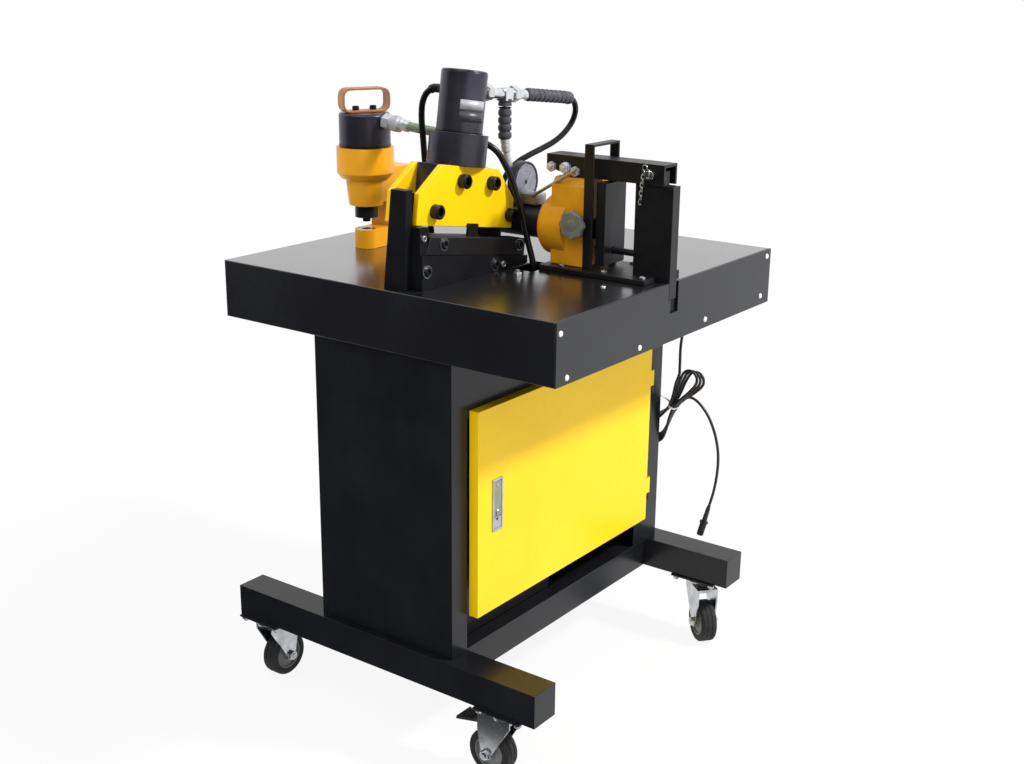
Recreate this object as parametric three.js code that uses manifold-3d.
// Busbar processing machine: a wheeled hydraulic bench with a cutter, a punch and a bender.
// Millimetres, +Z up. The door side is -Y, and the origin is on the floor under the middle.
import * as THREE from 'three';
import Module from 'manifold-3d';
import { mergeVertices } from 'three/addons/utils/BufferGeometryUtils.js';

// Clearances and mesh fineness
const GAP = 0.3;
const OVERRUN = 6;
const RUNNING = 0.6;
const ROUND_SIDES = 28;
const SMALL_SIDES = 16;
const HOSE_SIDES = 8;
const HOSE_STEP_DIAMETERS = 2.5;

// Casters
const CASTER_HEIGHT = 125.5;
const CASTER_PLATE_THICK = 3.5;
const CASTER_PLATE_LENGTH = 92;
const CASTER_PLATE_WIDTH = 66;
const WHEEL_RADIUS = 40;
const WHEEL_WIDTH = 32;
const WHEEL_RIM_RADIUS = 27;
const WHEEL_DISH = 4;
const WHEEL_HUB_RADIUS = 12;
const TYRE_SHOULDER = 5;
const CASTER_TRAIL = 28;
const FORK_INNER = 35;
const FORK_SHEET = 3;
const RACE_RADIUS = 24;
const RACE_HEIGHT = 9.5;
const CROWN_HEIGHT = 6;
const CROWN_REACH = 18;
const LEG_SHOULDER = 24;
const LEG_TIP_RADIUS = 10;
const AXLE_RADIUS = 5.5;
const PEDAL_PIN_RADIUS = 3;
const PEDAL_HUB_RADIUS = 5.5;
const PEDAL_HUB_RISE = 15.5;
const PEDAL_HUB_OFFSET = 6;
const PEDAL_REACH = 58;
const PEDAL_THICK = 5;
const PEDAL_DROP = 12;
const PEDAL_RIDGE = 2;
const PEDAL_RIDGES = 4;
const CASTER_INSET_FRONT = 72;
const CASTER_INSET_REAR = 47;
const CASTER_ANGLE_FRONT_LEFT = 90;
const CASTER_ANGLE_REAR_LEFT = 0;
const CASTER_ANGLE_FRONT_RIGHT = -130;
const CASTER_ANGLE_REAR_RIGHT = 155;

// Base frame
const BASE_SPAN = 688;
const FOOT_SIDE = 57;
const FOOT_WALL = 3;
const FOOT_LENGTH = 654;
const FOOT_SETBACK = 10;
const DRAIN_RADIUS = 6;
const CROSS_BAR_FACE = 135;

// Cabinet
const CABINET_LEFT = -330;
const CABINET_RIGHT = 311;
const CABINET_HALF_DEPTH = 143;
const SHEET = 2;
const DOOR_INSET_LEFT = 44.3;
const DOOR_INSET_RIGHT = 70;
const DOOR_OVERLAP = 12;
const OPENING_MARGIN_LEFT = 5;
const OPENING_BOTTOM = 187;

// Door, its hinges and latch
const DOOR_BOTTOM = 245;
const DOOR_TOP = 597;
const DOOR_THICK = 18;
const DOOR_SHEET = 1.5;
const HINGE_OUTSET = 9;
const HINGE_DEPTH = 12;
const KNUCKLE_RADIUS = 6;
const KNUCKLE_HEIGHT = 30;
const KNUCKLE_SEAT = 15;
const HINGE_PIN_RADIUS = 2.6;
const HINGE_HIGH = 526;
const HINGE_LOW = 312;
const LATCH_LEFT = -248;
const LATCH_WIDTH = 25;
const LATCH_BOTTOM = 385;
const LATCH_HEIGHT = 88;
const LATCH_BORDER = 3;
const LATCH_PROUD = 1.5;
const PADDLE_HEIGHT = 58;
const PADDLE_THICK = 2;

// Oil tank and pump inside the cabinet
const TANK_INSET = 60;
const TANK_WIDTH = 260;
const TANK_HEIGHT = 210;
const TANK_WALL = 3;
const TANK_DEPTH_MARGIN = 32;
const FILLER_RADIUS = 14;
const PUMP_PLATE = 12;
const MOTOR_RADIUS = 60;
const MOTOR_HEIGHT = 190;
const VALVE_BLOCK_TOP = 620;
const VALVE_BLOCK_THICK = 22;
const VALVE_COLUMN = 46;

// Table
const TABLE_WIDTH = 676;
const TABLE_DEPTH = 680;
const TABLE_TOP = 780;
const TABLE_THICK = 6;
const SKIRT_HEIGHT = 97.5;
const SKIRT_SHEET = 3;
const FASCIA_THICK = 4;
const SLOT_LEFT = -17;
const SLOT_RIGHT = 7;
const SLOT_DEPTH = 50;
const HOSE_HOLE_WIDTH = 70;
const HOSE_HOLE_DEPTH = 44;
const FRONT_HOLE_X = -52;
const FRONT_HOLE_Y = -96;
const REAR_HOLE_X = -110;
const REAR_HOLE_Y = 66;
const SUPPLY_HOLE_X = 62;
const SUPPLY_HOLE_Y = 62;

// Cutter, in a frame that leans to the right: p runs along the plates, q runs up them
const CUTTER_X = -178;
const CUTTER_Z = 859.5;
const CUTTER_LEAN = 9;
const CUTTER_FRONT = -52;
const PLATE_THICK = 10;
const PLATE_PITCH = 54;
const PLATE_HALF_BOTTOM = 124;
const PLATE_SIDE = 48;
const PLATE_HEIGHT = 95;
const PLATE_HALF_TOP = 74;
const CUT_GAP = 15.5;
const LOWER_BLADE_LEFT = -110;
const LOWER_BLADE_RIGHT = 149;
const LOWER_BLADE_HEIGHT = 28;
const LOWER_BLADE_FRONT = -66;
const LOWER_BLADE_BACK = -30;
const LOWER_BLADE_BEVEL = 6;
const LOWER_BLADE_SLOPE = 22;
const BLADE_THICK = 10;
const CARRIAGE_HALF = 96;
const CARRIAGE_HEIGHT = 38;
const CARRIAGE_RISE = 5;
const COLUMN_WIDTH = 20;
const CHEEK_BACK = -42.6;
const CHEEK_TOP = -0.5;
const REST_FRONT = -18;
const REST_TOP = -16.5;
const HEAD_HALF = 70;
const HEAD_BOTTOM = 50;
const COLLAR_RADIUS = 47.5;
const COLLAR_TOP = 146;
const CUTTER_ROD_RADIUS = 14;
const CUTTER_ROD_TOP = 110;
const CUTTER_CYLINDER_RADIUS = 37.3;
const CUTTER_CYLINDER_TOP = 241;
const CUTTER_BORE = 27;
const CUTTER_CROWN = 14;
const PORT_Q = 213;
const PORT_RADIUS = 8;
const PORT_LENGTH = 10;
const BASE_BLOCK_LEFT = -309;
const BASE_BLOCK_RIGHT = -33;
const BASE_BLOCK_FRONT = -70;
const BASE_BLOCK_BACK = -1;
const POST_LEFT = -324;
const POST_TOP = 935;
const POST_TOP_FRONT = -52;
const POST_TOP_BACK = -22;
const POST_BOTTOM_FRONT = -48;
const POST_BOTTOM_BACK = -5;
const BRIDGE_BACK = -22;

// Fitting at the top of the cutter cylinder
const FITTING_TILT = -6;
const FITTING_BLOCK = 20;
const FITTING_BODY_RADIUS = 8.5;
const FITTING_NUT_RADIUS = 12;
const FITTING_NUT_LENGTH = 16;
const FITTING_END_X = 26;

// Punch
const PUNCH_X = -104;
const PUNCH_Y = 228;
const PUNCH_CAP_TOP = 1015;
const PUNCH_CAP_BOTTOM = 957;
const PUNCH_CAP_RADIUS = 44.5;
const PUNCH_CAP_BEVEL = 3;
const PUNCH_RING_RADIUS = 50;
const PUNCH_RING_BOTTOM = 913;
const PUNCH_SHOULDER = 13;
const PUNCH_NECK_TOP_RADIUS = 35;
const PUNCH_NECK_BOTTOM = 856;
const PUNCH_NECK_RADIUS = 30;
const PUNCH_SPINE_OFFSET = 46;
const PUNCH_SPINE_DEPTH = 44;
const PUNCH_SPINE_HALF = 30;
const ANVIL_TOP = 813;
const ANVIL_HALF = 21;
const PUNCH_RADIUS = 20;
const PUNCH_TIP_RADIUS = 7;
const PUNCH_TIP_BOTTOM = 826;
const PUNCH_TIP_LENGTH = 8;
const PUNCH_BODY_TOP = 905;
const DIE_RADIUS = 15.5;
const DIE_HEIGHT = 13;
const DIE_BORE = 8.4;
const SLUG_BORE = 11;
const HANDLE_TURN = -25;
const HANDLE_WIDTH = 88;
const HANDLE_HEIGHT = 42;
const HANDLE_STRIP = 24;
const HANDLE_THICK = 4;
const HANDLE_CORNER = 14;
const HANDLE_CORNER_STEPS = 3;
const COUPLER_BACK_Z = 1003;
const COUPLER_FRONT_Z = 995;
const COUPLER_LENGTH = 94;
const COUPLER_PROFILE = [[0, 0], [0.55, 0], [0.55, 0.16], [0.85, 0.16], [0.85, 0.34], [0.7, 0.36],
  [0.7, 0.42], [1, 0.44], [1, 0.6], [0.8, 0.62], [0.8, 0.72], [0.6, 0.74], [0.6, 1], [0, 1]];

// Bender
const BENDER_X = -9;
const BENDER_AXIS_Z = 848;
const BED_LEFT = -64;
const BED_RIGHT = 46;
const BED_FRONT = -318;
const BED_BACK = -115;
const BED_THICK = 8;
const CASTING_HALF = 35;
const CASTING_FRONT = -189;
const CASTING_BACK = -124;
const CASTING_TOP = 932;
const CASTING_CHAMFER = 12;
const DRUM_RADIUS = 50;
const DRUM_BACK = -102;
const DRUM_BEVEL = 6;
const LUG_HALF = 11;
const LUG_RADIUS = 12;
const RAM_BORE = 16;
const RAM_RADIUS = 15.2;
const RAM_BACK = -130;
const BENDER_CYLINDER_RADIUS = 28;
const BENDER_CYLINDER_BACK = 10;
const PRESS_LEFT = -41;
const PRESS_RIGHT = 21;
const PRESS_FRONT = -227;
const PRESS_BACK = -210;
const PRESS_BOTTOM = 796;
const PRESS_TOP = 930;
const GUIDE_Z = 818;
const GUIDE_RADIUS = 5.5;
const GUIDE_BACK = -193;
const END_POST_LEFT = -23;
const END_POST_RIGHT = -1;
const END_POST_BACK = -271;
const END_POST_DEPTH = 69;
const END_POST_BOTTOM = 753;
const END_POST_TOP = 933;
const V_GROOVE = 9;
const TONGUE_FRONT = -320;
const TONGUE_BACK = -276;
const TONGUE_TOP = 955;
const BEAM_LEFT = -28;
const BEAM_RIGHT = 12;
const BEAM_FRONT = -325;
const BEAM_BACK = -103;
const BEAM_TOP = 966;
const BEAM_WALL = 4.6;
const BEAM_TAPER_START = -150;
const BEAM_TAPER_RISE = 12;
const PIVOT_Y = -143;
const PIVOT_Z = 946;
const PIVOT_RADIUS = 6;
const NUT_RADIUS = 9.5;
const NUT_THICK = 7;
const HITCH_Y = -301;
const HITCH_Z = 949;
const HITCH_RADIUS = 4.6;
const HITCH_HEAD_RADIUS = 8;
const HITCH_HEAD = 6;
const HITCH_TAIL = 6;
const YOKE_LEFT = -48.3;
const YOKE_RIGHT = 30.3;
const YOKE_FRONT = -207;
const YOKE_BACK = -190;
const YOKE_TOP = 990;
const YOKE_STRAP = 4;
const KNOB_Y = -177;
const KNOB_Z = 860;
const KNOB_RADIUS = 24;
const KNOB_THICK = 10;
const KNOB_LOBES = 8;
const KNOB_POINTS_PER_LOBE = 4;
const KNOB_LOBE_RISE_SHARE = 0.07;
const KNOB_COLLAR_RADIUS = 9;
const KNOB_STUD_RADIUS = 5;
const KNOB_STUD_LENGTH = 12;
const GAUGE_X = -9;
const GAUGE_Z = 911;
const GAUGE_RADIUS = 34;
const GAUGE_FACE = -49;
const GAUGE_BACK = -33;
const GAUGE_RIM = 3;
const GAUGE_BLOCK_LEFT = -26;
const GAUGE_BLOCK_RIGHT = 4;
const GAUGE_BLOCK_FRONT = -86;
const GAUGE_BLOCK_BACK = -18;
const GAUGE_BLOCK_HEIGHT = 19;

// Hoses and ribbed guards
const HOSE_RADIUS = 5.3;
const GUARD_RADIUS = 9.2;
const GUARD_GROOVE_RADIUS = 7.6;
const FERRULE_RADIUS = 7;
const PIPE_RADIUS = 3.6;
const SUPPLY_RIBS = 16;
const GAUGE_RIBS = 9;
const PUNCH_HOSE_ROUTE = [[-103, 88.4, 994.8], [-102, 60, 993], [-100.5, 20, 990], [-97.5, -20, 984.5],
  [-89, -34, 977], [-80.5, -43, 966], [-74, -50, 950], [-67, -57, 930], [-60, -64.5, 900], [-55, -72.5, 870],
  [-51.5, -83, 823], [-48, -92, 785], [-50, -97, 750], [-60, -93, 700], [-72, -85, 655], [-74, -84, 620.4]];
const SUPPLY_GUARD_ROUTE = [[26.6, -20, 1051.6], [91, -20, 1044.6], [160, -19, 1035.6]];
const SUPPLY_HOSE_ROUTE = [[175, -18, 1029], [187, -14, 1012], [186, -8, 992], [172, 0, 972], [152, 8, 958],
  [130, 17, 948], [105, 27, 938], [84, 38, 926], [68, 50, 905], [61, 58, 875], [60, 61, 840], [61, 62, 790],
  [58, 61, 740], [45, 57, 695], [27, 52, 662], [18, 50, 640], [17, 50, 628], [17, 50, 620.6]];
const GAUGE_HOSE_ROUTE = [[-32.8, -20, 1045.5], [-32.8, -20, 1030], [-33, -21, 982], [-29, -23, 952],
  [-24, -26, 925], [-18.5, -27, 910], [-17.5, -27, 903], [-17.5, -27, 895.7]];
const RETURN_HOSE_ROUTE = [[-144.7, 27.7, 1069.9], [-144.7, 40, 1069.6], [-144.5, 55, 1061], [-143, 65, 1045],
  [-141, 69, 1020], [-138, 69, 990], [-135, 68, 950], [-130, 67, 890], [-122, 66, 830], [-112, 66, 770],
  [-104, 66, 700], [-102, 66, 660], [-102, 66, 620.4]];

// Control cord: a drop from its gland, a tied hank, and a tail that ends in a round connector
const CORD_RADIUS = 2.75;
const CORD_SIDES = 6;
const RELIEF_WALL = 0.5;
const CORD_X = 326;
const HANK_X = 329;
const GLAND_Y = -188;
const GLAND_RADIUS = 8;
const GLAND_SHOULDER_RADIUS = 6.4;
const GLAND_LENGTH = 24;
const GLAND_RELIEF = 22;
const HANK_LOOPS = 4;
const HANK_PITCH = 6.8;
const HANK_UPPER = 86;
const HANK_LOWER = 84;
const HANK_END_RADIUS = 17;
const HANK_WAIST = 4.2;
const HANK_TILT = 33;
const HANK_FAN = 14;
const HANK_CENTRE_Y = -163;
const HANK_CENTRE_Z = 452;
const HANK_STEPS = 24;
const HANK_LEAD = [22, 16.5, 5.5];
const HANK_CHECK_POINTS = 12;
const HANK_NEIGHBOUR = 16.5;
const DROP_STRAIGHT = 32;
const TAIL_ROUTE = [[-182, 467.5], [-193, 470], [-205, 466], [-219, 455], [-231, 441], [-242, 424],
  [-252, 402], [-259, 376], [-261.5, 350], [-260, 318], [-256, 290], [-250.5, 266]];
const TAIL_UPRIGHT = 4;
const PLUG_RADIUS = 6.5;
const PLUG_LENGTH = 26;
const PLUG_FLANGE_RADIUS = 8.5;
const PLUG_FLANGE = 3;
const PLUG_RELIEF = 34;
const PLUG_RELIEF_RADIUS = 5;

const wasm = await Module();
wasm.setup();

// A closed three.js geometry as a solid, facing out
function solid(geometry) {
  const shell = geometry.clone();
  shell.deleteAttribute('normal');
  shell.deleteAttribute('uv');
  const merged = mergeVertices(shell);
  const points = merged.attributes.position;
  const index = merged.index.array;
  const faces = [];
  let volume = 0;
  const corners = [new THREE.Vector3(), new THREE.Vector3(), new THREE.Vector3()];
  for (let i = 0; i < index.length; i += 3) {
    const [a, b, c] = [index[i], index[i + 1], index[i + 2]];
    if (a === b || b === c || a === c) continue;
    faces.push([a, b, c]);
    corners.forEach((corner, k) => corner.fromBufferAttribute(points, faces[faces.length - 1][k]));
    volume += corners[0].dot(corners[1].clone().cross(corners[2]));
  }
  const triangles = faces.flatMap(([a, b, c]) => (volume < 0 ? [a, c, b] : [a, b, c]));
  return new wasm.Manifold(new wasm.Mesh({
    numProp: 3, vertProperties: Float32Array.from(points.array), triVerts: Uint32Array.from(triangles),
  }));
}

// A solid as a flat-shaded three.js geometry
function geometryOf(body) {
  const mesh = body.getMesh();
  const geometry = new THREE.BufferGeometry();
  geometry.setAttribute('position', new THREE.BufferAttribute(new Float32Array(mesh.vertProperties), 3));
  geometry.setIndex(new THREE.BufferAttribute(new Uint32Array(mesh.triVerts), 1));
  return geometry;
}

const join = (...bodies) => bodies.reduce((sum, body) => sum.add(body));
const cut = (body, ...tools) => tools.reduce((rest, tool) => rest.subtract(tool), body);

function block(x0, x1, y0, y1, z0, z1) {
  const geometry = new THREE.BoxGeometry(x1 - x0, y1 - y0, z1 - z0);
  return solid(geometry.translate((x0 + x1) / 2, (y0 + y1) / 2, (z0 + z1) / 2));
}

// Turns a geometry made along +Y so that it lies along the named axis
function layAlong(geometry, axis) {
  if (axis === 'x') geometry.rotateZ(-Math.PI / 2);
  if (axis === 'z') geometry.rotateX(Math.PI / 2);
  return geometry;
}

// A round bar along an axis; u and v are its centre on the other two axes, in x, y, z order
function bar(axis, radius, from, to, u, v, sides = ROUND_SIDES, endRadius = radius) {
  const geometry = layAlong(new THREE.CylinderGeometry(endRadius, radius, to - from, sides), axis);
  const middle = (from + to) / 2;
  const centre = { x: [middle, u, v], y: [u, middle, v], z: [u, v, middle] }[axis];
  return solid(geometry.translate(...centre));
}

// A turned piece from a profile of [radius, distance] points, at a centre as for a bar
function turned(axis, profile, u, v, sides = ROUND_SIDES) {
  const geometry = new THREE.LatheGeometry(profile.map(([r, d]) => new THREE.Vector2(r, d)), sides);
  const centre = { x: [0, u, v], y: [u, 0, v], z: [u, v, 0] }[axis];
  return solid(layAlong(geometry, axis).translate(...centre));
}

function shapeOf(points) {
  return new THREE.Shape(points.map(([a, b]) => new THREE.Vector2(a, b)));
}

// An outline in the x-z plane, pulled along y
function plateXZ(points, y0, y1) {
  const geometry = new THREE.ExtrudeGeometry(shapeOf(points), { depth: y1 - y0, bevelEnabled: false });
  return solid(geometry.rotateX(Math.PI / 2).translate(0, y1, 0));
}

// An outline in the y-z plane, pulled along x
function plateYZ(points, x0, x1) {
  const geometry = new THREE.ExtrudeGeometry(shapeOf(points), { depth: x1 - x0, bevelEnabled: false });
  const turn = new THREE.Matrix4().makeBasis(
    new THREE.Vector3(0, 1, 0), new THREE.Vector3(0, 0, 1), new THREE.Vector3(1, 0, 0));
  return solid(geometry.applyMatrix4(turn).translate(x0, 0, 0));
}

// An outline in the x-y plane, pulled along z
function plateXY(points, z0, z1) {
  const geometry = new THREE.ExtrudeGeometry(shapeOf(points), { depth: z1 - z0, bevelEnabled: false });
  return solid(geometry.translate(0, 0, z0));
}

// One unbroken tube through a list of points, with its own radius at each
function sweep(points, radii, sides) {
  const rings = points.length;
  const tangents = points.map((p, i) => points[Math.min(i + 1, rings - 1)].clone()
    .sub(points[Math.max(i - 1, 0)]).normalize());
  tangents[0] = points[1].clone().sub(points[0]).normalize();
  let normal = new THREE.Vector3(0, 0, 1).cross(tangents[0]);
  if (normal.length() < Math.SQRT1_2) normal = new THREE.Vector3(1, 0, 0).cross(tangents[0]);
  const vertices = [];
  const indices = [];
  for (let i = 0; i < rings; i += 1) {
    normal = normal.clone().addScaledVector(tangents[i], -normal.dot(tangents[i])).normalize();
    const binormal = tangents[i].clone().cross(normal);
    for (let k = 0; k < sides; k += 1) {
      const angle = (k / sides) * Math.PI * 2;
      const spoke = normal.clone().multiplyScalar(Math.cos(angle) * radii[i])
        .addScaledVector(binormal, Math.sin(angle) * radii[i]);
      vertices.push(...points[i].clone().add(spoke).toArray());
    }
  }
  for (let i = 0; i + 1 < rings; i += 1) {
    for (let k = 0; k < sides; k += 1) {
      const next = (k + 1) % sides;
      const [a, b, c, d] = [i * sides + k, i * sides + next, (i + 1) * sides + k, (i + 1) * sides + next];
      indices.push(a, b, c, b, d, c);
    }
  }
  for (let k = 1; k + 1 < sides; k += 1) {
    const last = (rings - 1) * sides;
    indices.push(0, k + 1, k, last, last + k, last + k + 1);
  }
  const geometry = new THREE.BufferGeometry();
  geometry.setAttribute('position', new THREE.Float32BufferAttribute(vertices, 3));
  geometry.setIndex(indices);
  return solid(geometry);
}

const vectors = (route) => route.map((p) => new THREE.Vector3(...p));

// A plain round hose or cord along a smooth curve through its route
function tubeAlong(route, radius) {
  const curve = new THREE.CatmullRomCurve3(vectors(route), false, 'centripetal');
  const steps = Math.round(curve.getLength() / (2 * radius * HOSE_STEP_DIAMETERS));
  const section = new THREE.Shape().absarc(0, 0, radius, 0, Math.PI * 2);
  const outline = new THREE.Shape(section.getSpacedPoints(HOSE_SIDES).slice(0, HOSE_SIDES));
  return solid(new THREE.ExtrudeGeometry(outline, { steps, extrudePath: curve, bevelEnabled: false }));
}

// The stations of a ribbed guard: each rib is one wide ring and one narrow ring
function ribbed(curve, from, to, ribs) {
  const stations = [{ at: from, radius: GUARD_GROOVE_RADIUS }];
  for (let i = 0; i < ribs; i += 1) {
    stations.push({ at: from + (to - from) * ((i + 1 / 2) / ribs), radius: GUARD_RADIUS });
    stations.push({ at: from + (to - from) * ((i + 1) / ribs), radius: GUARD_GROOVE_RADIUS });
  }
  return stations.map(({ at, radius }) => ({ point: curve.getPointAt(at), radius }));
}

const finish = {
  black: { color: 0x15161a, roughness: 0.3, metalness: 0.1 },
  satin: { color: 0x2b2b31, roughness: 0.5, metalness: 0.3 },
  grey: { color: 0x4b4c50, roughness: 0.5, metalness: 0.1 },
  yellow: { color: 0xf2c30f, roughness: 0.4, metalness: 0.05 },
  casting: { color: 0xc98a14, roughness: 0.45, metalness: 0.05 },
  copper: { color: 0xc1702c, roughness: 0.45, metalness: 0.2 },
  zinc: { color: 0xb4b6b8, roughness: 0.35, metalness: 0.9 },
  steel: { color: 0x8f9296, roughness: 0.35, metalness: 0.9 },
  tyre: { color: 0x1a1a1b, roughness: 0.8, metalness: 0 },
  hose: { color: 0x141416, roughness: 0.55, metalness: 0 },
  knob: { color: 0x6f7470, roughness: 0.5, metalness: 0.1 },
  tank: { color: 0x2c4a66, roughness: 0.5, metalness: 0.2 },
};

const group = new THREE.Group();
function add(name, body, look, parent = group) {
  const mesh = new THREE.Mesh(geometryOf(body), new THREE.MeshStandardMaterial(finish[look]));
  mesh.name = name;
  parent.add(mesh);
}

// Base frame: two capped foot tubes with a drain hole, and two cross-bars between them
const footBottom = CASTER_HEIGHT;
const footTop = footBottom + FOOT_SIDE;
const footX = BASE_SPAN / 2 - FOOT_SIDE / 2;
const footFront = FOOT_SETBACK - FOOT_LENGTH / 2;
const footBack = FOOT_SETBACK + FOOT_LENGTH / 2;
const casterY = { front: footFront + CASTER_INSET_FRONT, rear: footBack - CASTER_INSET_REAR };

function foot(side) {
  const centre = side * footX;
  const half = FOOT_SIDE / 2;
  const tube = block(centre - half, centre + half, footFront, footBack, footBottom, footTop);
  const inside = block(centre - half + FOOT_WALL, centre + half - FOOT_WALL, footFront + FOOT_WALL,
    footBack - FOOT_WALL, footBottom + FOOT_WALL, footTop - FOOT_WALL);
  const drain = bar('z', DRAIN_RADIUS, footBottom - OVERRUN, footBottom + OVERRUN, centre, FOOT_SETBACK,
    SMALL_SIDES);
  const plates = Object.values(casterY).map((y) => block(centre - CASTER_PLATE_WIDTH / 2,
    centre + CASTER_PLATE_WIDTH / 2, y - CASTER_PLATE_LENGTH / 2, y + CASTER_PLATE_LENGTH / 2,
    footBottom - CASTER_PLATE_THICK, footBottom));
  return cut(join(tube, ...plates), inside, drain);
}
add('foot_left', foot(-1), 'black');
add('foot_right', foot(1), 'black');

function crossBar(y0) {
  const reach = footX - FOOT_SIDE / 2 - GAP;
  const tube = block(-reach, reach, y0, y0 + FOOT_SIDE, footBottom, footTop);
  const inside = block(-reach - OVERRUN, reach + OVERRUN, y0 + FOOT_WALL, y0 + FOOT_SIDE - FOOT_WALL,
    footBottom + FOOT_WALL, footTop - FOOT_WALL);
  return cut(tube, inside);
}
add('cross_bar_front', crossBar(-CROSS_BAR_FACE), 'black');
add('cross_bar_rear', crossBar(CROSS_BAR_FACE - FOOT_SIDE), 'black');

// Casters, made about their swivel axis with the trail along +x, then turned and placed
const raceTop = footBottom - CASTER_PLATE_THICK - GAP;
const crownTop = raceTop - RACE_HEIGHT;
const crownBottom = crownTop - CROWN_HEIGHT;
const forkHalf = FORK_INNER / 2 + FORK_SHEET;
const pedalX = CASTER_TRAIL + PEDAL_HUB_OFFSET;
const pedalZ = 2 * WHEEL_RADIUS + PEDAL_HUB_RISE;

function fork(withPedal) {
  const race = bar('z', RACE_RADIUS, crownTop - OVERRUN / 2, raceTop, 0, 0);
  const crown = block(-CROWN_REACH, CASTER_TRAIL + CROWN_REACH, -forkHalf, forkHalf, crownBottom, crownTop);
  const tip = [];
  for (let i = 0; i <= HOSE_SIDES; i += 1) {
    const angle = -Math.PI * (i / HOSE_SIDES);
    tip.push([CASTER_TRAIL + LEG_TIP_RADIUS * Math.cos(angle),
      WHEEL_RADIUS + LEG_TIP_RADIUS * Math.sin(angle)]);
  }
  const outline = [[-CROWN_REACH, crownTop], [-CROWN_REACH, crownBottom - CROWN_HEIGHT],
    ...tip.reverse(), [CASTER_TRAIL + CROWN_REACH, crownBottom - LEG_SHOULDER],
    [CASTER_TRAIL + CROWN_REACH, crownTop]];
  const legs = [-1, 1].map((side) => plateXZ(outline, Math.min(side * forkHalf, side * FORK_INNER / 2),
    Math.max(side * forkHalf, side * FORK_INNER / 2)));
  const axle = bar('y', AXLE_RADIUS, -forkHalf, forkHalf, CASTER_TRAIL, WHEEL_RADIUS, SMALL_SIDES);
  const parts = [race, crown, ...legs, axle];
  if (withPedal) parts.push(bar('y', PEDAL_PIN_RADIUS, -forkHalf, forkHalf, pedalX, pedalZ, SMALL_SIDES));
  return join(...parts);
}

function wheel() {
  const half = WHEEL_WIDTH / 2;
  const bore = AXLE_RADIUS + RUNNING;
  const profile = [[bore, -half], [WHEEL_HUB_RADIUS, -half], [WHEEL_RIM_RADIUS, -half + WHEEL_DISH],
    [WHEEL_RADIUS - TYRE_SHOULDER, -half], [WHEEL_RADIUS, -half + TYRE_SHOULDER],
    [WHEEL_RADIUS, half - TYRE_SHOULDER], [WHEEL_RADIUS - TYRE_SHOULDER, half],
    [WHEEL_RIM_RADIUS, half - WHEEL_DISH], [WHEEL_HUB_RADIUS, half], [bore, half], [bore, -half]];
  return turned('y', profile, CASTER_TRAIL, WHEEL_RADIUS);
}

function pedal() {
  const half = FORK_INNER / 2 - RUNNING;
  const hub = bar('y', PEDAL_HUB_RADIUS, -half, half, pedalX, pedalZ, SMALL_SIDES);
  const far = pedalX + PEDAL_REACH;
  const outline = [[pedalX, pedalZ + PEDAL_THICK / 2], [pedalX, pedalZ - PEDAL_THICK / 2],
    [far, pedalZ - PEDAL_DROP - PEDAL_THICK / 2], [far, pedalZ - PEDAL_DROP + PEDAL_THICK / 2]];
  const ridges = [];
  for (let i = 0; i < PEDAL_RIDGES; i += 1) {
    const share = 1 - (i + 1 / 2) / (2 * PEDAL_RIDGES);
    ridges.push(bar('y', PEDAL_RIDGE, -half, half, pedalX + PEDAL_REACH * share,
      pedalZ - PEDAL_DROP * share + PEDAL_THICK / 2, HOSE_SIDES));
  }
  const bore = bar('y', PEDAL_PIN_RADIUS + RUNNING, -half - OVERRUN, half + OVERRUN, pedalX, pedalZ,
    SMALL_SIDES);
  return cut(join(hub, plateXZ(outline, -half, half), ...ridges), bore);
}

const casters = [
  { place: 'front_left', x: -footX, y: casterY.front, turn: CASTER_ANGLE_FRONT_LEFT, brake: true },
  { place: 'rear_left', x: -footX, y: casterY.rear, turn: CASTER_ANGLE_REAR_LEFT, brake: true },
  { place: 'front_right', x: footX, y: casterY.front, turn: CASTER_ANGLE_FRONT_RIGHT, brake: false },
  { place: 'rear_right', x: footX, y: casterY.rear, turn: CASTER_ANGLE_REAR_RIGHT, brake: false },
];
for (const caster of casters) {
  const mount = new THREE.Group();
  mount.position.set(caster.x, caster.y, 0);
  mount.rotation.z = THREE.MathUtils.degToRad(caster.turn);
  group.add(mount);
  add(`caster_fork_${caster.place}`, fork(caster.brake), 'zinc', mount);
  add(`caster_wheel_${caster.place}`, wheel(), 'tyre', mount);
  if (caster.brake) add(`brake_pedal_${caster.place}`, pedal(), 'hose', mount);
}

// Cabinet of sheet panels between the base frame and the table
const tableBottom = TABLE_TOP - TABLE_THICK;
const floorBottom = footTop + GAP;
const panelTop = tableBottom - GAP;
const cabinetFront = -CABINET_HALF_DEPTH;
const cabinetBack = CABINET_HALF_DEPTH;
const innerFront = cabinetFront + SHEET + GAP;
const innerBack = cabinetBack - SHEET - GAP;
const panelBottom = floorBottom;
add('cabinet_left_panel', block(CABINET_LEFT, CABINET_LEFT + SHEET, innerFront, innerBack, panelBottom,
  panelTop), 'black');
add('cabinet_right_panel', block(CABINET_RIGHT - SHEET, CABINET_RIGHT, innerFront, innerBack, panelBottom,
  panelTop), 'black');
add('cabinet_rear_panel', block(CABINET_LEFT, CABINET_RIGHT, cabinetBack - SHEET, cabinetBack, panelBottom,
  panelTop), 'black');
add('cabinet_floor', block(CABINET_LEFT + SHEET + GAP, CABINET_RIGHT - SHEET - GAP, innerFront, innerBack,
  panelBottom, panelBottom + SHEET), 'black');

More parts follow.
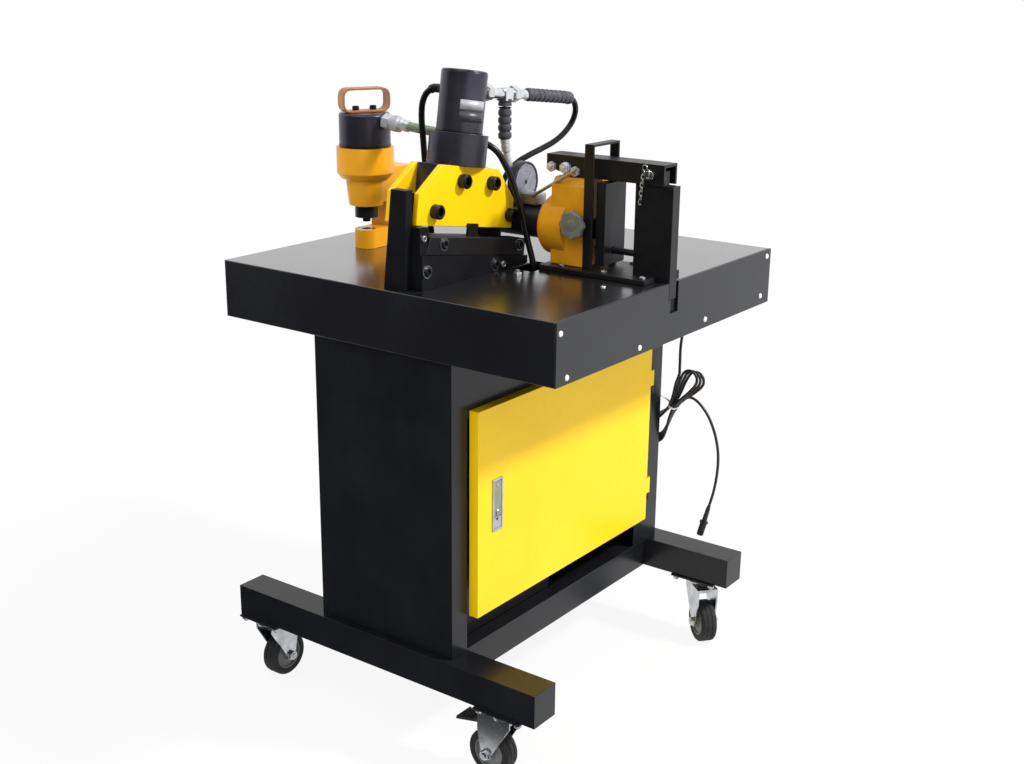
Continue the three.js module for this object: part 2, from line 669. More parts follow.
// Front frame with the door opening and the fixed half of each hinge
const doorLeft = CABINET_LEFT + DOOR_INSET_LEFT;
const doorRight = CABINET_RIGHT - DOOR_INSET_RIGHT;
const doorBack = cabinetFront - GAP;
const doorFront = doorBack - DOOR_THICK + GAP;
const hingeX = doorRight + HINGE_OUTSET;
const hingeY = cabinetFront - HINGE_DEPTH;
const openingTop = DOOR_TOP - DOOR_OVERLAP;
const hinges = [HINGE_LOW, HINGE_HIGH].map((z) => z - KNUCKLE_HEIGHT / 2);

function frontFrame() {
  const plate = block(CABINET_LEFT, CABINET_RIGHT, cabinetFront, cabinetFront + SHEET, panelBottom, panelTop);
  const opening = block(doorLeft - OPENING_MARGIN_LEFT, doorRight - DOOR_OVERLAP, cabinetFront - OVERRUN,
    cabinetFront + SHEET + OVERRUN, OPENING_BOTTOM, openingTop);
  const leaves = hinges.map((z) => {
    const knuckle = bar('z', KNUCKLE_RADIUS, z - KNUCKLE_SEAT, z - GAP, hingeX, hingeY, SMALL_SIDES);
    const arm = block(hingeX - KNUCKLE_RADIUS, hingeX + KNUCKLE_RADIUS, hingeY, cabinetFront + SHEET,
      z - KNUCKLE_SEAT, z - GAP);
    const pin = bar('z', HINGE_PIN_RADIUS, z - KNUCKLE_SEAT, z + KNUCKLE_HEIGHT, hingeX, hingeY, SMALL_SIDES);
    return join(knuckle, arm, pin);
  });
  return join(cut(plate, opening), ...leaves);
}
add('cabinet_front_frame', frontFrame(), 'black');

// Door pan with its knuckles and the latch recess
const latchRight = LATCH_LEFT + LATCH_WIDTH;
const latchTop = LATCH_BOTTOM + LATCH_HEIGHT;
const paddleTop = latchTop - 2 * LATCH_BORDER;
const paddleLeft = LATCH_LEFT + LATCH_BORDER;
const paddleRight = latchRight - LATCH_BORDER;
const latchFace = doorFront - LATCH_PROUD;

function door() {
  const pan = block(doorLeft, doorRight, doorFront, doorBack, DOOR_BOTTOM, DOOR_TOP);
  const inside = block(doorLeft + DOOR_SHEET, doorRight - DOOR_SHEET, doorFront + DOOR_SHEET,
    doorBack + OVERRUN, DOOR_BOTTOM + DOOR_SHEET, DOOR_TOP - DOOR_SHEET);
  const tray = block(LATCH_LEFT, latchRight, latchFace, doorFront + 3 * DOOR_SHEET, LATCH_BOTTOM, latchTop);
  const recess = block(paddleLeft, paddleRight, latchFace - OVERRUN, doorFront + 2 * DOOR_SHEET,
    LATCH_BOTTOM + LATCH_BORDER, latchTop - LATCH_BORDER);
  const knuckles = hinges.map((z) => {
    const knuckle = bar('z', KNUCKLE_RADIUS, z, z + KNUCKLE_HEIGHT, hingeX, hingeY, SMALL_SIDES);
    const arm = block(doorRight - DOOR_SHEET, hingeX, hingeY - KNUCKLE_RADIUS, hingeY - KNUCKLE_RADIUS / 2, z,
      z + KNUCKLE_HEIGHT);
    return join(knuckle, arm);
  });
  const bores = hinges.map((z) => bar('z', HINGE_PIN_RADIUS + RUNNING, z - OVERRUN,
    z + KNUCKLE_HEIGHT + OVERRUN, hingeX, hingeY, SMALL_SIDES));
  return cut(join(cut(pan, inside), tray, ...knuckles), recess, ...bores);
}
add('door', door(), 'yellow');

// Pull latch, hinged along its top edge
function latchPaddle() {
  const plate = block(paddleLeft + RUNNING, paddleRight - RUNNING, latchFace, latchFace + PADDLE_THICK,
    paddleTop - PADDLE_HEIGHT, paddleTop);
  const roll = bar('x', PADDLE_THICK, paddleLeft + GAP, paddleRight - GAP, latchFace + PADDLE_THICK,
    paddleTop, SMALL_SIDES);
  return join(plate, roll);
}
add('latch_paddle', latchPaddle(), 'zinc');

// Oil tank, with the motor, pump and valve block on its lid
const tankLeft = CABINET_LEFT + TANK_INSET;
const tankRight = tankLeft + TANK_WIDTH;
const tankFront = cabinetFront + TANK_DEPTH_MARGIN;
const tankBack = cabinetBack - TANK_DEPTH_MARGIN;
const tankBottom = panelBottom + SHEET + GAP;
const tankTop = tankBottom + TANK_HEIGHT;

function oilTank() {
  const shell = block(tankLeft, tankRight, tankFront, tankBack, tankBottom, tankTop);
  const inside = block(tankLeft + TANK_WALL, tankRight - TANK_WALL, tankFront + TANK_WALL,
    tankBack - TANK_WALL, tankBottom + TANK_WALL, tankTop - TANK_WALL);
  const filler = bar('z', FILLER_RADIUS, tankTop - 2 * TANK_WALL, tankTop + OVERRUN,
    tankLeft + 2 * FILLER_RADIUS, tankBack - 2 * FILLER_RADIUS, SMALL_SIDES);
  return cut(shell, inside, filler);
}
add('oil_tank', oilTank(), 'tank');

const pumpBottom = tankTop + GAP;
const valveFront = FRONT_HOLE_Y - HOSE_HOLE_DEPTH / 2;
const valveBack = REAR_HOLE_Y + HOSE_HOLE_DEPTH / 2;
const valveLeft = REAR_HOLE_X - VALVE_COLUMN / 2;

function motorPump() {
  const motorX = tankLeft + MOTOR_RADIUS + TANK_WALL;
  const plate = block(tankLeft + TANK_WALL, tankRight - TANK_WALL, valveFront + OVERRUN,
    valveBack - VALVE_COLUMN, pumpBottom, pumpBottom + PUMP_PLATE);
  const motor = bar('z', MOTOR_RADIUS, pumpBottom, pumpBottom + MOTOR_HEIGHT, motorX, 0);
  const column = block(REAR_HOLE_X, REAR_HOLE_X + VALVE_COLUMN, -VALVE_COLUMN / 2, VALVE_COLUMN / 2,
    pumpBottom, VALVE_BLOCK_TOP);
  const valves = block(valveLeft, tankRight - TANK_WALL + VALVE_COLUMN, valveFront, valveBack,
    VALVE_BLOCK_TOP - VALVE_BLOCK_THICK, VALVE_BLOCK_TOP);
  return join(plate, motor, column, valves);
}
add('motor_pump', motorPump(), 'satin');

// Table top folded from sheet, open below, with the post slot and the hose holes
const tableHalf = TABLE_WIDTH / 2;
const tableFront = -TABLE_DEPTH / 2;
const tableBack = TABLE_DEPTH / 2;
const skirtBottom = TABLE_TOP - SKIRT_HEIGHT;
const fasciaBack = tableFront + FASCIA_THICK;
const slotBack = END_POST_BACK + GAP;
const slotLeft = END_POST_LEFT - GAP;

function hoseHole(x, y) {
  return block(x - HOSE_HOLE_WIDTH / 2, x + HOSE_HOLE_WIDTH / 2, y - HOSE_HOLE_DEPTH / 2,
    y + HOSE_HOLE_DEPTH / 2, tableBottom - OVERRUN, TABLE_TOP + OVERRUN);
}

function tableTop() {
  const shell = block(-tableHalf, tableHalf, fasciaBack + GAP, tableBack, skirtBottom, TABLE_TOP);
  const under = block(-tableHalf + SKIRT_SHEET, tableHalf - SKIRT_SHEET, fasciaBack - OVERRUN,
    tableBack - SKIRT_SHEET, skirtBottom - OVERRUN, tableBottom);
  const slot = block(slotLeft, SLOT_RIGHT, fasciaBack - OVERRUN, slotBack, tableBottom - OVERRUN,
    TABLE_TOP + OVERRUN);
  return cut(shell, under, slot, hoseHole(FRONT_HOLE_X, FRONT_HOLE_Y), hoseHole(REAR_HOLE_X, REAR_HOLE_Y),
    hoseHole(SUPPLY_HOLE_X, SUPPLY_HOLE_Y));
}
add('table_top', tableTop(), 'black');

function fascia() {
  const plate = block(-tableHalf, tableHalf, tableFront, fasciaBack, skirtBottom, TABLE_TOP);
  const upper = block(slotLeft, SLOT_RIGHT, tableFront - OVERRUN, fasciaBack + OVERRUN, END_POST_BOTTOM - GAP,
    TABLE_TOP + OVERRUN);
  const lower = block(SLOT_LEFT, SLOT_RIGHT, tableFront - OVERRUN, fasciaBack + OVERRUN,
    TABLE_TOP - SLOT_DEPTH, END_POST_BOTTOM);
  return cut(plate, upper, lower);
}
add('front_fascia', fascia(), 'grey');

// Cutter pieces are drawn upright in the leaned frame, then turned with it
const lean = THREE.MathUtils.degToRad(CUTTER_LEAN);
const leanCos = Math.cos(lean);
const leanSin = Math.sin(lean);
const leaned = new THREE.Group();
leaned.position.set(CUTTER_X, 0, CUTTER_Z);
leaned.rotation.y = lean;
group.add(leaned);
const worldOf = (p, q) => [CUTTER_X + p * leanCos + q * leanSin, CUTTER_Z - p * leanSin + q * leanCos];

const rearPlateFront = CUTTER_FRONT + PLATE_PITCH;
const bladeFront = LOWER_BLADE_BACK + RUNNING;
const headFront = CUTTER_FRONT + PLATE_THICK + GAP;
const headBack = rearPlateFront - GAP;
const columnFront = LOWER_BLADE_BACK + GAP;
const cutterY = (CUTTER_FRONT + rearPlateFront + PLATE_THICK) / 2;
const plateOutline = [[-PLATE_HALF_BOTTOM, 0], [PLATE_HALF_BOTTOM, 0], [PLATE_HALF_BOTTOM, PLATE_SIDE],
  [PLATE_HALF_TOP, PLATE_HEIGHT], [-PLATE_HALF_TOP, PLATE_HEIGHT], [-PLATE_HALF_BOTTOM, PLATE_SIDE]];
for (const [name, front] of [['cutter_front_plate', CUTTER_FRONT], ['cutter_rear_plate', rearPlateFront]]) {
  add(name, plateXZ(plateOutline, front, front + PLATE_THICK), 'yellow', leaned);
}

function cutterHead() {
  const collarBottom = PLATE_HEIGHT + GAP;
  const middle = block(-HEAD_HALF, HEAD_HALF, headFront, headBack, HEAD_BOTTOM, collarBottom);
  const collar = bar('z', COLLAR_RADIUS, collarBottom, COLLAR_TOP, 0, cutterY);
  const spigot = block(-COLLAR_RADIUS / 2, COLLAR_RADIUS / 2, headFront, headBack, HEAD_BOTTOM,
    collarBottom + OVERRUN);
  const bore = bar('z', CUTTER_ROD_RADIUS + RUNNING, HEAD_BOTTOM - OVERRUN, COLLAR_TOP + OVERRUN, 0, cutterY);
  return cut(join(middle, spigot, collar), bore);
}
add('cutter_head', cutterHead(), 'satin', leaned);

function cutterCylinder() {
  const bottom = COLLAR_TOP + GAP;
  const body = bar('z', CUTTER_CYLINDER_RADIUS, bottom, CUTTER_CYLINDER_TOP, 0, cutterY);
  const port = bar('y', PORT_RADIUS, cutterY, cutterY + CUTTER_CYLINDER_RADIUS + PORT_LENGTH, 0, PORT_Q,
    SMALL_SIDES);
  const bore = bar('z', CUTTER_BORE, bottom - OVERRUN, CUTTER_CYLINDER_TOP - CUTTER_CROWN, 0, cutterY);
  return cut(join(body, port), bore);
}
add('cutter_cylinder', cutterCylinder(), 'satin', leaned);

function bladeCarriage() {
  const body = block(-CARRIAGE_HALF, CARRIAGE_HALF, headFront, headBack, CARRIAGE_RISE,
    CARRIAGE_RISE + CARRIAGE_HEIGHT);
  const blade = block(-CARRIAGE_HALF, CARRIAGE_HALF, bladeFront, bladeFront + BLADE_THICK, 0,
    CARRIAGE_HEIGHT / 2);
  const rod = bar('z', CUTTER_ROD_RADIUS, CARRIAGE_HEIGHT / 2, CUTTER_ROD_TOP, 0, cutterY);
  return join(body, blade, rod);
}
add('blade_carriage', bladeCarriage(), 'steel', leaned);

const bladeTop = -CUT_GAP;
const bladeBottom = bladeTop - LOWER_BLADE_HEIGHT;
const lowerOutline = [[LOWER_BLADE_LEFT + LOWER_BLADE_BEVEL, bladeTop],
  [LOWER_BLADE_LEFT, bladeTop - LOWER_BLADE_SLOPE], [LOWER_BLADE_LEFT, bladeBottom],
  [LOWER_BLADE_RIGHT, bladeBottom], [LOWER_BLADE_RIGHT, bladeTop]];
add('lower_blade', plateXZ(lowerOutline, LOWER_BLADE_FRONT, LOWER_BLADE_BACK), 'satin', leaned);

// Cutter base in room axes: wedge block, side post and the two columns between the plates
function cutterBase() {
  const seat = bladeBottom - GAP;
  const bottom = TABLE_TOP + GAP;
  const [leftX, leftZ] = worldOf(-PLATE_HALF_BOTTOM, seat);
  const [rightX, rightZ] = worldOf(LOWER_BLADE_RIGHT + GAP, seat);
  const wedge = plateXZ([[BASE_BLOCK_LEFT, bottom], [BASE_BLOCK_RIGHT, bottom], [BASE_BLOCK_RIGHT, rightZ],
    [rightX, rightZ], [leftX, leftZ], [BASE_BLOCK_LEFT, leftZ]], BASE_BLOCK_FRONT, BASE_BLOCK_BACK);
  const post = plateYZ([[POST_BOTTOM_FRONT, bottom], [POST_BOTTOM_BACK, bottom], [POST_TOP_BACK, POST_TOP],
    [POST_TOP_FRONT, POST_TOP]], POST_LEFT, BASE_BLOCK_LEFT + GAP);
  const columns = [-1, 1].map((side) => {
    const outer = side * PLATE_HALF_BOTTOM;
    const inner = side * (PLATE_HALF_BOTTOM - COLUMN_WIDTH);
    const corners = [[outer, seat], [outer, PLATE_SIDE], [inner, PLATE_SIDE], [inner, seat]];
    return plateXZ(corners.map(([p, q]) => worldOf(p, q + (q === seat ? -GAP : 0))), columnFront, headBack);
  });
  const [, sideZ] = worldOf(-PLATE_HALF_BOTTOM, PLATE_SIDE);
  const bridge = plateXZ([[BASE_BLOCK_LEFT, leftZ], worldOf(-PLATE_HALF_BOTTOM + GAP, seat),
    worldOf(-PLATE_HALF_BOTTOM + GAP, PLATE_SIDE), [BASE_BLOCK_LEFT, sideZ]], columnFront, BRIDGE_BACK);
  // A cheek beside the lower blade, and a rest behind it below the carriage's lowest place
  const cheekRight = LOWER_BLADE_LEFT - GAP;
  const cheek = plateXZ([[BASE_BLOCK_LEFT, leftZ - GAP], worldOf(cheekRight, seat - GAP),
    worldOf(cheekRight, CHEEK_TOP), worldOf(-PLATE_HALF_BOTTOM, CHEEK_TOP),
    [BASE_BLOCK_LEFT, worldOf(-PLATE_HALF_BOTTOM, CHEEK_TOP)[1]]], LOWER_BLADE_FRONT, CHEEK_BACK);
  const restHalf = PLATE_HALF_BOTTOM - COLUMN_WIDTH + GAP;
  const rest = plateXZ([[-restHalf, seat - GAP], [restHalf, seat - GAP], [restHalf, REST_TOP],
    [-restHalf, REST_TOP]].map(([p, q]) => worldOf(p, q)), REST_FRONT, headBack);
  return join(wedge, post, bridge, cheek, rest, ...columns);
}
add('cutter_base', cutterBase(), 'black');

// Fitting with a drop branch on the cutter cylinder's right side
function cylinderFitting() {
  const tilt = THREE.MathUtils.degToRad(FITTING_TILT);
  const [, z] = worldOf(CUTTER_CYLINDER_RADIUS, PORT_Q);
  const startX = worldOf(CUTTER_CYLINDER_RADIUS, PORT_Q)[0] + RUNNING;
  const blockX = GAUGE_HOSE_ROUTE[0][0];
  const length = (FITTING_END_X - startX) / Math.cos(tilt);
  const profile = [[0, 0], [FITTING_BODY_RADIUS, 0], [FITTING_BODY_RADIUS, FITTING_NUT_LENGTH],
    [FITTING_NUT_RADIUS, FITTING_NUT_LENGTH], [FITTING_NUT_RADIUS, 2 * FITTING_NUT_LENGTH],
    [FITTING_BODY_RADIUS, 2 * FITTING_NUT_LENGTH], [FITTING_BODY_RADIUS, length - FITTING_BLOCK],
    [FERRULE_RADIUS, length - FITTING_BLOCK], [FERRULE_RADIUS, length], [0, length]];
  const run = turned('x', profile, 0, 0, SMALL_SIDES)
    .rotate([0, -FITTING_TILT, 0]).translate([startX, cutterY, z]);
  const blockZ = z + Math.tan(tilt) * (blockX - startX);
  const half = FITTING_BLOCK / 2;
  const tee = block(blockX - half, blockX + half, cutterY - half, cutterY + half, blockZ - half,
    blockZ + half);
  const drop = bar('z', FITTING_BODY_RADIUS, GAUGE_HOSE_ROUTE[0][2] + 2 * GAP, blockZ, blockX, cutterY,
    SMALL_SIDES);
  return join(run, tee, drop);
}
add('cylinder_fitting', cylinderFitting(), 'zinc');

// Punch: a C-frame with the cylinder cap, handle, punch and die on one axis
function punchFrame() {
  const spineLeft = PUNCH_X + PUNCH_SPINE_OFFSET;
  const spineRight = spineLeft + PUNCH_SPINE_DEPTH;
  const bottom = TABLE_TOP + GAP;
  const ring = bar('z', PUNCH_RING_RADIUS, PUNCH_RING_BOTTOM, PUNCH_CAP_BOTTOM - GAP, PUNCH_X, PUNCH_Y);
  const shoulderBottom = PUNCH_RING_BOTTOM - PUNCH_SHOULDER;
  const neck = turned('z', [[0, PUNCH_NECK_BOTTOM], [PUNCH_NECK_RADIUS, PUNCH_NECK_BOTTOM],
    [PUNCH_NECK_TOP_RADIUS, shoulderBottom], [(PUNCH_NECK_TOP_RADIUS + PUNCH_RING_RADIUS) / 2,
      shoulderBottom + PUNCH_SHOULDER / 4], [PUNCH_RING_RADIUS, PUNCH_RING_BOTTOM],
    [PUNCH_RING_RADIUS, PUNCH_RING_BOTTOM + GAP], [0, PUNCH_RING_BOTTOM + GAP]], PUNCH_X, PUNCH_Y);
  const spine = block(spineLeft, spineRight, PUNCH_Y - PUNCH_SPINE_HALF, PUNCH_Y + PUNCH_SPINE_HALF, bottom,
    PUNCH_RING_BOTTOM + SHEET);
  const bridge = block(PUNCH_X, spineRight, PUNCH_Y - PUNCH_SPINE_HALF, PUNCH_Y + PUNCH_SPINE_HALF,
    PUNCH_NECK_BOTTOM + OVERRUN, PUNCH_RING_BOTTOM + OVERRUN);
  const anvil = block(PUNCH_X, spineRight, PUNCH_Y - ANVIL_HALF, PUNCH_Y + ANVIL_HALF, bottom, ANVIL_TOP);
  const nose = bar('z', ANVIL_HALF, bottom, ANVIL_TOP, PUNCH_X, PUNCH_Y);
  const bore = bar('z', PUNCH_RADIUS + RUNNING, PUNCH_NECK_BOTTOM - OVERRUN, PUNCH_CAP_BOTTOM + OVERRUN,
    PUNCH_X, PUNCH_Y);
  const pocket = bar('z', DIE_RADIUS + GAP, ANVIL_TOP - DIE_HEIGHT, ANVIL_TOP + OVERRUN, PUNCH_X, PUNCH_Y);
  const slug = bar('z', SLUG_BORE, bottom - OVERRUN, ANVIL_TOP, PUNCH_X, PUNCH_Y, SMALL_SIDES);
  return cut(join(ring, neck, spine, bridge, anvil, nose), bore, pocket, slug);
}
add('punch_frame', punchFrame(), 'casting');

const capInner = PUNCH_CAP_RADIUS - PUNCH_CAP_BEVEL;
add('punch_cylinder', turned('z', [[0, PUNCH_CAP_BOTTOM], [PUNCH_CAP_RADIUS, PUNCH_CAP_BOTTOM],
  [PUNCH_CAP_RADIUS, PUNCH_CAP_TOP - PUNCH_CAP_BEVEL], [capInner, PUNCH_CAP_TOP], [0, PUNCH_CAP_TOP]],
PUNCH_X, PUNCH_Y), 'satin');

// A closed strap with rounded corners
function strapHandle() {
  const ring = (inset) => {
    const half = HANDLE_WIDTH / 2 - inset;
    const radius = HANDLE_CORNER - inset;
    const top = HANDLE_HEIGHT - inset;
    const corners = [[half - radius, top - radius, 0], [radius - half, top - radius, 1],
      [radius - half, inset + radius, 2], [half - radius, inset + radius, 3]];
    return corners.flatMap(([x, z, quarter]) => {
      const arc = [];
      for (let i = 0; i <= HANDLE_CORNER_STEPS; i += 1) {
        const angle = (quarter + i / HANDLE_CORNER_STEPS) * Math.PI / 2;
        arc.push([x + radius * Math.cos(angle), z + radius * Math.sin(angle)]);
      }
      return arc;
    });
  };
  const half = HANDLE_STRIP / 2;
  return cut(plateXZ(ring(0), -half, half), plateXZ(ring(HANDLE_THICK), -half - OVERRUN, half + OVERRUN));
}
const handleMount = new THREE.Group();
handleMount.position.set(PUNCH_X, PUNCH_Y, PUNCH_CAP_TOP + GAP);
handleMount.rotation.z = THREE.MathUtils.degToRad(HANDLE_TURN);
group.add(handleMount);
add('punch_handle', strapHandle(), 'copper', handleMount);

const tipTop = PUNCH_TIP_BOTTOM + PUNCH_TIP_LENGTH;
add('punch', turned('z', [[0, PUNCH_TIP_BOTTOM], [PUNCH_TIP_RADIUS, PUNCH_TIP_BOTTOM],
  [PUNCH_TIP_RADIUS, tipTop], [PUNCH_RADIUS, tipTop], [PUNCH_RADIUS, PUNCH_BODY_TOP],
  [0, PUNCH_BODY_TOP]], PUNCH_X, PUNCH_Y), 'steel');
const dieBottom = ANVIL_TOP - DIE_HEIGHT + GAP;
add('punch_die', turned('z', [[DIE_BORE, dieBottom], [DIE_RADIUS, dieBottom], [DIE_RADIUS, ANVIL_TOP],
  [DIE_BORE, ANVIL_TOP], [DIE_BORE, dieBottom]], PUNCH_X, PUNCH_Y), 'steel');

// Quick coupler from the cap towards the cutter: shares of its length and of the largest radius
function punchCoupler() {
  const tilt = Math.atan2(COUPLER_FRONT_Z - COUPLER_BACK_Z, COUPLER_LENGTH);
  const profile = COUPLER_PROFILE.map(([r, d]) => [r * FITTING_NUT_RADIUS, d * COUPLER_LENGTH]);
  const startY = PUNCH_Y - PUNCH_CAP_RADIUS - 2 * GAP;
  return turned('y', profile, 0, 0, SMALL_SIDES).rotate([THREE.MathUtils.radToDeg(-tilt), 0, 180])
    .translate([PUNCH_X, startY, COUPLER_BACK_Z]);
}
add('punch_coupler', punchCoupler(), 'zinc');

// Bender bed, slotted for the end post
const bedBottom = TABLE_TOP + GAP;
const bedTop = bedBottom + BED_THICK;
const bedSlot = block(slotLeft, END_POST_RIGHT + GAP, BED_FRONT - OVERRUN, slotBack, bedBottom - OVERRUN,
  bedTop + OVERRUN);
add('bender_bed', cut(block(BED_LEFT, BED_RIGHT, BED_FRONT, BED_BACK, bedBottom, bedTop), bedSlot), 'satin');

function benderCasting() {
  const left = BENDER_X - CASTING_HALF;
  const right = BENDER_X + CASTING_HALF;
  const top = CASTING_TOP - GAP;
  const body = plateXZ([[left, bedTop + GAP], [right, bedTop + GAP], [right, top - CASTING_CHAMFER],
    [right - CASTING_CHAMFER, top], [left + CASTING_CHAMFER, top], [left, top - CASTING_CHAMFER]],
  CASTING_FRONT, CASTING_BACK);
  const drumFront = CASTING_FRONT + DRUM_BEVEL;
  const drum = turned('y', [[0, drumFront], [DRUM_RADIUS, drumFront], [DRUM_RADIUS, DRUM_BACK - DRUM_BEVEL],
    [DRUM_RADIUS - DRUM_BEVEL, DRUM_BACK], [0, DRUM_BACK]], BENDER_X, BENDER_AXIS_Z);
  const lugX = (BEAM_LEFT + BEAM_RIGHT) / 2;
  const lug = join(bar('x', LUG_RADIUS, lugX - LUG_HALF, lugX + LUG_HALF, PIVOT_Y, PIVOT_Z),
    block(lugX - LUG_HALF, lugX + LUG_HALF, PIVOT_Y - LUG_RADIUS, PIVOT_Y + LUG_RADIUS, top - CASTING_CHAMFER,
      PIVOT_Z));
  const ramBore = bar('y', RAM_BORE, CASTING_FRONT - OVERRUN, RAM_BACK + OVERRUN, BENDER_X, BENDER_AXIS_Z);
  const pivotBore = bar('x', PIVOT_RADIUS + GAP, left, right, PIVOT_Y, PIVOT_Z, SMALL_SIDES);
  const studBore = bar('x', KNOB_STUD_RADIUS + RUNNING, left - OVERRUN, left + KNOB_STUD_LENGTH + GAP, KNOB_Y,
    KNOB_Z, SMALL_SIDES);
  const farStudBore = bar('x', KNOB_STUD_RADIUS + RUNNING, right - KNOB_STUD_LENGTH - GAP, right + OVERRUN,
    KNOB_Y, KNOB_Z, SMALL_SIDES);
  const flats = [-1, 1].map((side) => {
    const face = side > 0 ? right : left;
    return block(Math.min(face, face + side * DRUM_RADIUS), Math.max(face, face + side * DRUM_RADIUS),
      CASTING_FRONT - OVERRUN, KNOB_Y + KNOB_RADIUS + RUNNING, bedTop, top);
  });
  return cut(join(body, drum, lug), ramBore, pivotBore, studBore, farStudBore, ...flats);
}
add('bender_casting', benderCasting(), 'casting');

add('bender_cylinder', bar('y', BENDER_CYLINDER_RADIUS, DRUM_BACK + GAP, BENDER_CYLINDER_BACK, BENDER_X,
  BENDER_AXIS_Z), 'satin');

function pressPlate() {
  const plate = block(PRESS_LEFT, PRESS_RIGHT, PRESS_FRONT, PRESS_BACK, PRESS_BOTTOM, PRESS_TOP);
  const ram = bar('y', RAM_RADIUS, PRESS_BACK - OVERRUN, RAM_BACK, BENDER_X, BENDER_AXIS_Z);
  const guideX = (END_POST_LEFT + END_POST_RIGHT) / 2;
  const guideBore = bar('y', GUIDE_RADIUS + RUNNING, PRESS_FRONT - OVERRUN, PRESS_BACK + OVERRUN, guideX,
    GUIDE_Z, SMALL_SIDES);
  return cut(join(plate, ram), guideBore);
}
add('press_plate', pressPlate(), 'satin');

// End post with its V groove, its tongue under the beam, an open pin notch and the lower guide rod
function endPost() {
  const middle = (END_POST_LEFT + END_POST_RIGHT) / 2;
  const postFront = END_POST_BACK - END_POST_DEPTH;
  const post = block(END_POST_LEFT, END_POST_RIGHT, postFront, END_POST_BACK, END_POST_BOTTOM, END_POST_TOP);
  const tongue = block(END_POST_LEFT + SHEET, END_POST_RIGHT, TONGUE_FRONT, TONGUE_BACK,
    END_POST_TOP - OVERRUN, TONGUE_TOP);
  const groove = plateXY([[middle - V_GROOVE, END_POST_BACK + GAP], [middle, END_POST_BACK - V_GROOVE],
    [middle + V_GROOVE, END_POST_BACK + GAP]], bedTop, END_POST_TOP + OVERRUN);
  const guide = bar('y', GUIDE_RADIUS, END_POST_BACK - 2 * V_GROOVE, GUIDE_BACK, middle, GUIDE_Z,
    SMALL_SIDES);
  const notchHalf = HITCH_RADIUS + RUNNING;
  const notch = block(END_POST_LEFT, END_POST_RIGHT + OVERRUN, HITCH_Y - notchHalf, HITCH_Y + notchHalf,
    HITCH_Z - HITCH_RADIUS - GAP, TONGUE_TOP + OVERRUN);
  return cut(join(cut(join(post, tongue), groove), guide), notch);
}
add('end_post', endPost(), 'satin');

// Beam: an inverted channel over the casting's lug and the post's tongue
function bendBeam() {
  const bottom = END_POST_TOP + GAP;
  const taperBack = bottom + BEAM_TAPER_RISE;
  const outline = [[BEAM_FRONT, bottom], [BEAM_TAPER_START, bottom], [BEAM_BACK, taperBack],
    [BEAM_BACK, BEAM_TOP], [BEAM_FRONT, BEAM_TOP]];
  const hollow = block(BEAM_LEFT + BEAM_WALL, BEAM_RIGHT - BEAM_WALL, BEAM_FRONT - OVERRUN,
    BEAM_BACK + OVERRUN, bottom - OVERRUN, BEAM_TOP - BEAM_WALL);
  const channel = cut(plateYZ(outline, BEAM_LEFT, BEAM_RIGHT), hollow);
  const pivotBore = bar('x', PIVOT_RADIUS + RUNNING, BEAM_LEFT - OVERRUN, BEAM_RIGHT + OVERRUN, PIVOT_Y,
    PIVOT_Z, SMALL_SIDES);
  const hitchBore = bar('x', HITCH_RADIUS + RUNNING, BEAM_LEFT - OVERRUN, BEAM_RIGHT + OVERRUN, HITCH_Y,
    HITCH_Z, SMALL_SIDES);
  return cut(channel, pivotBore, hitchBore);
}
add('bend_beam', bendBeam(), 'satin');

// A round pin along x with a wider head on each end that has one
function headedPin(y, z, radius, headRadius, head, from, to, farHead) {
  const shaft = bar('x', radius, from - head / 2, farHead ? to + head / 2 : to, y, z, SMALL_SIDES);
  const heads = [bar('x', headRadius, from - head, from, y, z, SMALL_SIDES)];
  if (farHead) heads.push(bar('x', headRadius, to, to + head, y, z, SMALL_SIDES));
  return join(shaft, ...heads);
}
add('beam_bolt', headedPin(PIVOT_Y, PIVOT_Z, PIVOT_RADIUS, NUT_RADIUS, NUT_THICK, BEAM_LEFT - GAP,
  BEAM_RIGHT + GAP, true), 'zinc');
add('hitch_pin', headedPin(HITCH_Y, HITCH_Z, HITCH_RADIUS, HITCH_HEAD_RADIUS, HITCH_HEAD, BEAM_LEFT - GAP,
  BEAM_RIGHT + HITCH_TAIL, false), 'zinc');

// Yoke strap over the beam
function yoke() {
  const outer = block(YOKE_LEFT, YOKE_RIGHT, YOKE_FRONT, YOKE_BACK, bedTop + GAP, YOKE_TOP);
  const inside = block(YOKE_LEFT + YOKE_STRAP, YOKE_RIGHT - YOKE_STRAP, YOKE_FRONT - OVERRUN,
    YOKE_BACK + OVERRUN, bedTop - OVERRUN, YOKE_TOP - YOKE_STRAP);
  return cut(outer, inside);
}
add('bender_yoke', yoke(), 'black');

